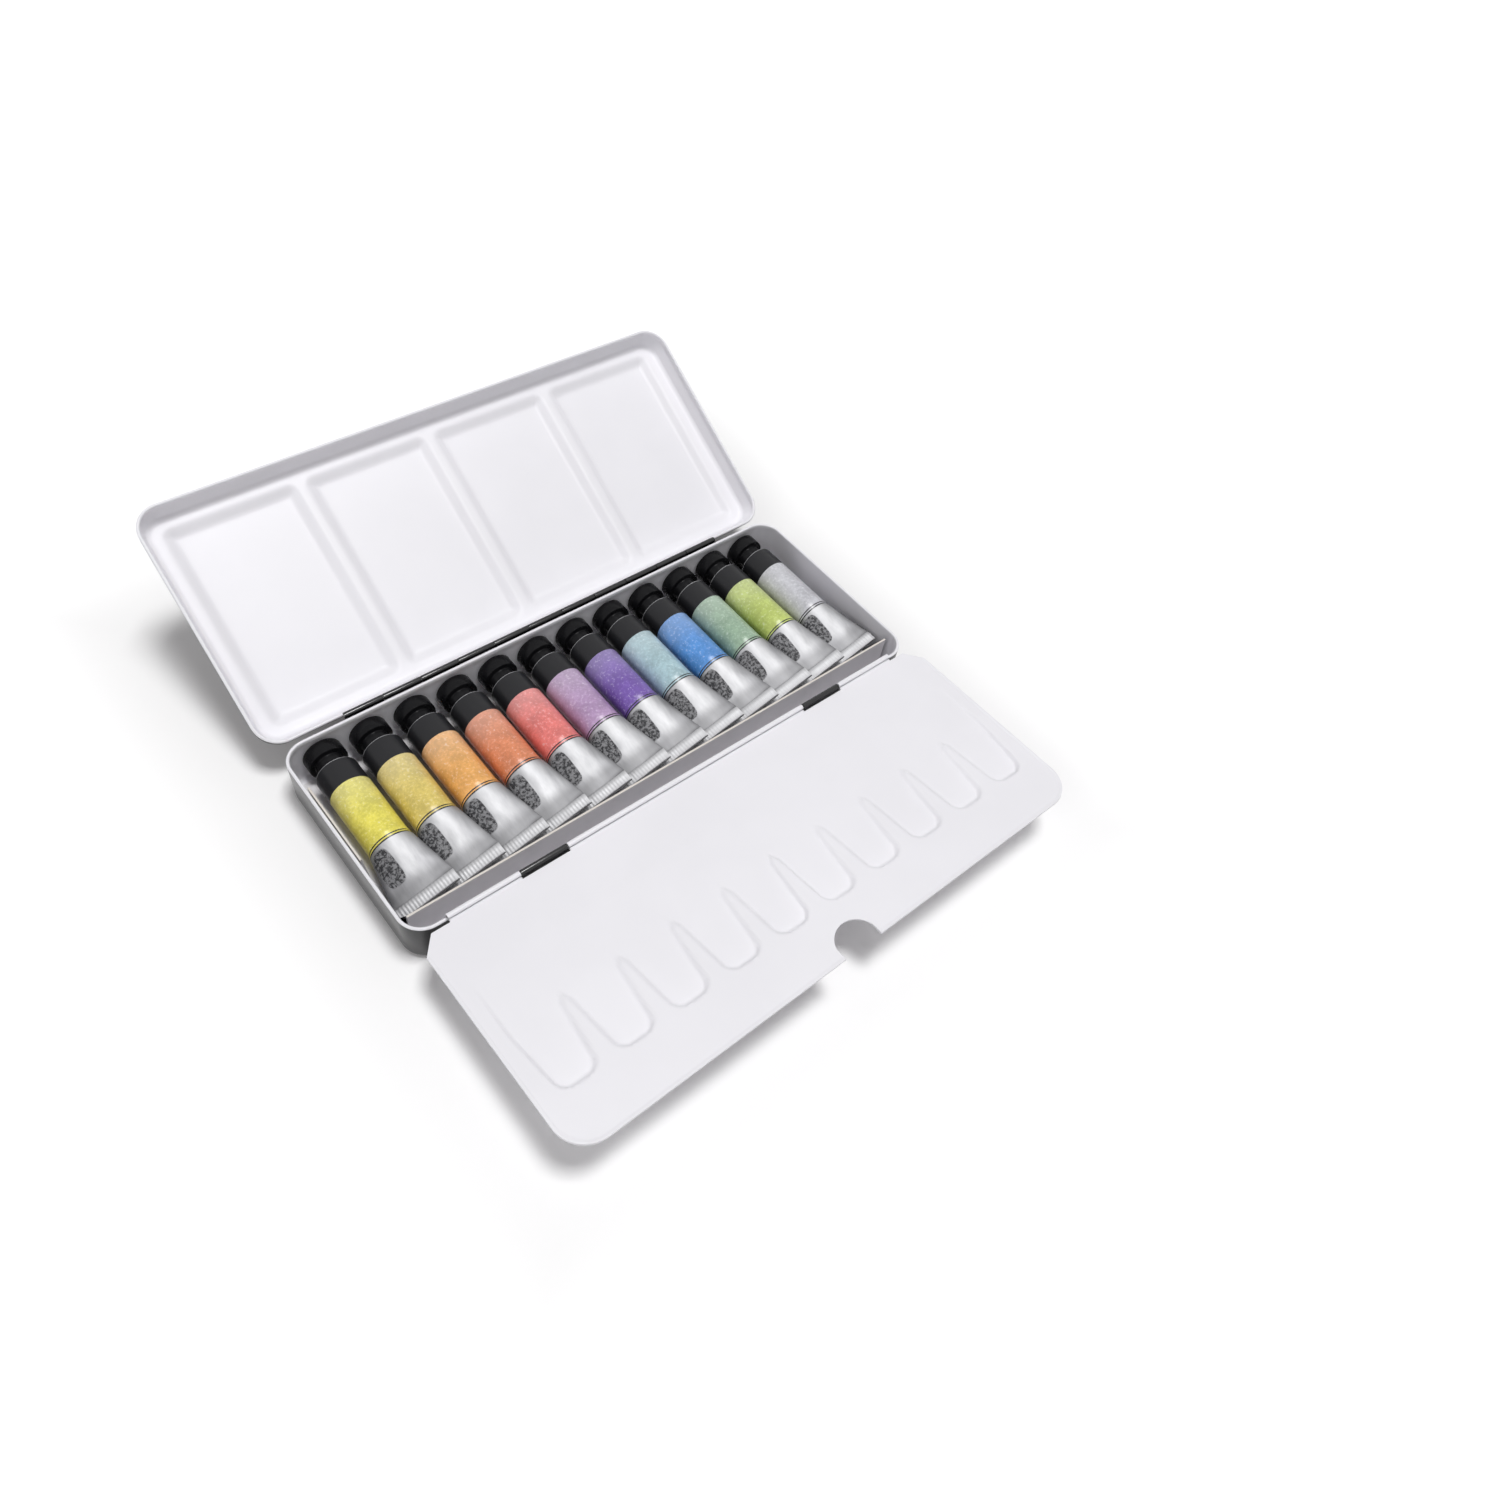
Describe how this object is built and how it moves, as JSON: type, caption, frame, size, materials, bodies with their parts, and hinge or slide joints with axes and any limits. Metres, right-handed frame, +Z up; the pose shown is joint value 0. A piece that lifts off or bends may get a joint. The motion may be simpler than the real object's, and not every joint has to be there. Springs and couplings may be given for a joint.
{
  "type": "watercolor tube set",
  "caption": "Hinged black metal tin holding a row of watercolor paint tubes, with mixing wells pressed in its lid and in a fold-out palette flap.",
  "frame": {"origin": "on the table under the middle of the tin's flat underside", "axes": "+X along the tin to the right of someone using it, +Y to the lid side, +Z up"},
  "size_m": [0.233, 0.2705, 0.0643],
  "materials": {
    "black_enamel": "gloss black outside; the inside of the tin and lid is white enamel, shown in the visual model",
    "white_enamel": "gloss white enamel",
    "pin_steel": "plain drawn wire",
    "white_card": "matt white card with a pale buff cut edge",
    "black_plastic": "gloss black moulded plastic",
    "tube_lemon": "lemon label band between a black shoulder band and a bare folded tail",
    "tube_ochre": "ochre label band between a black shoulder band and a bare folded tail",
    "tube_orange": "orange label band between a black shoulder band and a bare folded tail",
    "tube_copper": "copper label band between a black shoulder band and a bare folded tail",
    "tube_coral": "coral label band between a black shoulder band and a bare folded tail",
    "tube_mauve": "mauve label band between a black shoulder band and a bare folded tail",
    "tube_violet": "violet label band between a black shoulder band and a bare folded tail",
    "tube_turquoise": "turquoise label band between a black shoulder band and a bare folded tail",
    "tube_blue": "blue label band between a black shoulder band and a bare folded tail",
    "tube_sage": "sage label band between a black shoulder band and a bare folded tail",
    "tube_lime": "lime label band between a black shoulder band and a bare folded tail",
    "tube_silver": "silver label band between a black shoulder band and a bare folded tail"
  },
  "bodies": {
    "base": {"base_tray": "black_enamel", "card_insert": "white_card", "rear_hinge_pin": "pin_steel", "front_hinge_pin": "pin_steel"},
    "lid": {"lid": "black_enamel"},
    "palette_flap": {"palette_flap": "white_enamel"},
    "tube_01": {"tube_01": "tube_lemon"},
    "cap_01": {"cap_01": "black_plastic"},
    "tube_02": {"tube_02": "tube_ochre"},
    "cap_02": {"cap_02": "black_plastic"},
    "tube_03": {"tube_03": "tube_orange"},
    "cap_03": {"cap_03": "black_plastic"},
    "tube_04": {"tube_04": "tube_copper"},
    "cap_04": {"cap_04": "black_plastic"},
    "tube_05": {"tube_05": "tube_coral"},
    "cap_05": {"cap_05": "black_plastic"},
    "tube_06": {"tube_06": "tube_mauve"},
    "cap_06": {"cap_06": "black_plastic"},
    "tube_07": {"tube_07": "tube_violet"},
    "cap_07": {"cap_07": "black_plastic"},
    "tube_08": {"tube_08": "tube_turquoise"},
    "cap_08": {"cap_08": "black_plastic"},
    "tube_09": {"tube_09": "tube_blue"},
    "cap_09": {"cap_09": "black_plastic"},
    "tube_10": {"tube_10": "tube_sage"},
    "cap_10": {"cap_10": "black_plastic"},
    "tube_11": {"tube_11": "tube_lime"},
    "cap_11": {"cap_11": "black_plastic"},
    "tube_12": {"tube_12": "tube_silver"},
    "cap_12": {"cap_12": "black_plastic"}
  },
  "joints": [
    {"name": "lid_hinge", "type": "hinge", "parent": "base", "child": "lid", "pos_m": [0, 0.0484, 0.0181], "axis": [-1, 0, 0], "range_deg": [-149.2, 0]},
    {"name": "palette_hinge", "type": "hinge", "parent": "base", "child": "palette_flap", "pos_m": [0, -0.0455, 0.0215], "axis": [1, 0, 0], "range_deg": [-178, 0]},
    {"name": "tube_12_lift", "type": "slide", "parent": "base", "child": "tube_12", "axis": [0, 0, 1], "range_m": [0, 0.024]},
    {"name": "tube_11_lift", "type": "slide", "parent": "tube_12", "child": "tube_11", "axis": [0, 0, 1], "range_m": [0, 0.024]},
    {"name": "tube_10_lift", "type": "slide", "parent": "tube_11", "child": "tube_10", "axis": [0, 0, 1], "range_m": [0, 0.024]},
    {"name": "tube_09_lift", "type": "slide", "parent": "tube_10", "child": "tube_09", "axis": [0, 0, 1], "range_m": [0, 0.024]},
    {"name": "tube_08_lift", "type": "slide", "parent": "tube_09", "child": "tube_08", "axis": [0, 0, 1], "range_m": [0, 0.024]},
    {"name": "tube_07_lift", "type": "slide", "parent": "tube_08", "child": "tube_07", "axis": [0, 0, 1], "range_m": [0, 0.024]},
    {"name": "tube_06_lift", "type": "slide", "parent": "tube_07", "child": "tube_06", "axis": [0, 0, 1], "range_m": [0, 0.024]},
    {"name": "tube_05_lift", "type": "slide", "parent": "tube_06", "child": "tube_05", "axis": [0, 0, 1], "range_m": [0, 0.024]},
    {"name": "tube_04_lift", "type": "slide", "parent": "tube_05", "child": "tube_04", "axis": [0, 0, 1], "range_m": [0, 0.024]},
    {"name": "tube_03_lift", "type": "slide", "parent": "tube_04", "child": "tube_03", "axis": [0, 0, 1], "range_m": [0, 0.024]},
    {"name": "tube_02_lift", "type": "slide", "parent": "tube_03", "child": "tube_02", "axis": [0, 0, 1], "range_m": [0, 0.024]},
    {"name": "tube_01_lift", "type": "slide", "parent": "tube_02", "child": "tube_01", "axis": [0, 0, 1], "range_m": [0, 0.024]},
    {"name": "cap_01_turn", "type": "hinge", "parent": "tube_01", "child": "cap_01", "pos_m": [-0.09922, 0.0439, 0.01], "axis": [0, 1, 0], "range_deg": [0, 540]},
    {"name": "cap_02_turn", "type": "hinge", "parent": "tube_02", "child": "cap_02", "pos_m": [-0.08118, 0.0439, 0.01], "axis": [0, 1, 0], "range_deg": [0, 540]},
    {"name": "cap_03_turn", "type": "hinge", "parent": "tube_03", "child": "cap_03", "pos_m": [-0.06314, 0.0439, 0.01], "axis": [0, 1, 0], "range_deg": [0, 540]},
    {"name": "cap_04_turn", "type": "hinge", "parent": "tube_04", "child": "cap_04", "pos_m": [-0.0451, 0.0439, 0.01], "axis": [0, 1, 0], "range_deg": [0, 540]},
    {"name": "cap_05_turn", "type": "hinge", "parent": "tube_05", "child": "cap_05", "pos_m": [-0.02706, 0.0439, 0.01], "axis": [0, 1, 0], "range_deg": [0, 540]},
    {"name": "cap_06_turn", "type": "hinge", "parent": "tube_06", "child": "cap_06", "pos_m": [-0.00902, 0.0439, 0.01], "axis": [0, 1, 0], "range_deg": [0, 540]},
    {"name": "cap_07_turn", "type": "hinge", "parent": "tube_07", "child": "cap_07", "pos_m": [0.00902, 0.0439, 0.01], "axis": [0, 1, 0], "range_deg": [0, 540]},
    {"name": "cap_08_turn", "type": "hinge", "parent": "tube_08", "child": "cap_08", "pos_m": [0.02706, 0.0439, 0.01], "axis": [0, 1, 0], "range_deg": [0, 540]},
    {"name": "cap_09_turn", "type": "hinge", "parent": "tube_09", "child": "cap_09", "pos_m": [0.0451, 0.0439, 0.01], "axis": [0, 1, 0], "range_deg": [0, 540]},
    {"name": "cap_10_turn", "type": "hinge", "parent": "tube_10", "child": "cap_10", "pos_m": [0.06314, 0.0439, 0.01], "axis": [0, 1, 0], "range_deg": [0, 540]},
    {"name": "cap_11_turn", "type": "hinge", "parent": "tube_11", "child": "cap_11", "pos_m": [0.08118, 0.0439, 0.01], "axis": [0, 1, 0], "range_deg": [0, 540]},
    {"name": "cap_12_turn", "type": "hinge", "parent": "tube_12", "child": "cap_12", "pos_m": [0.09922, 0.0439, 0.01], "axis": [0, 1, 0], "range_deg": [0, 540]}
  ]
}
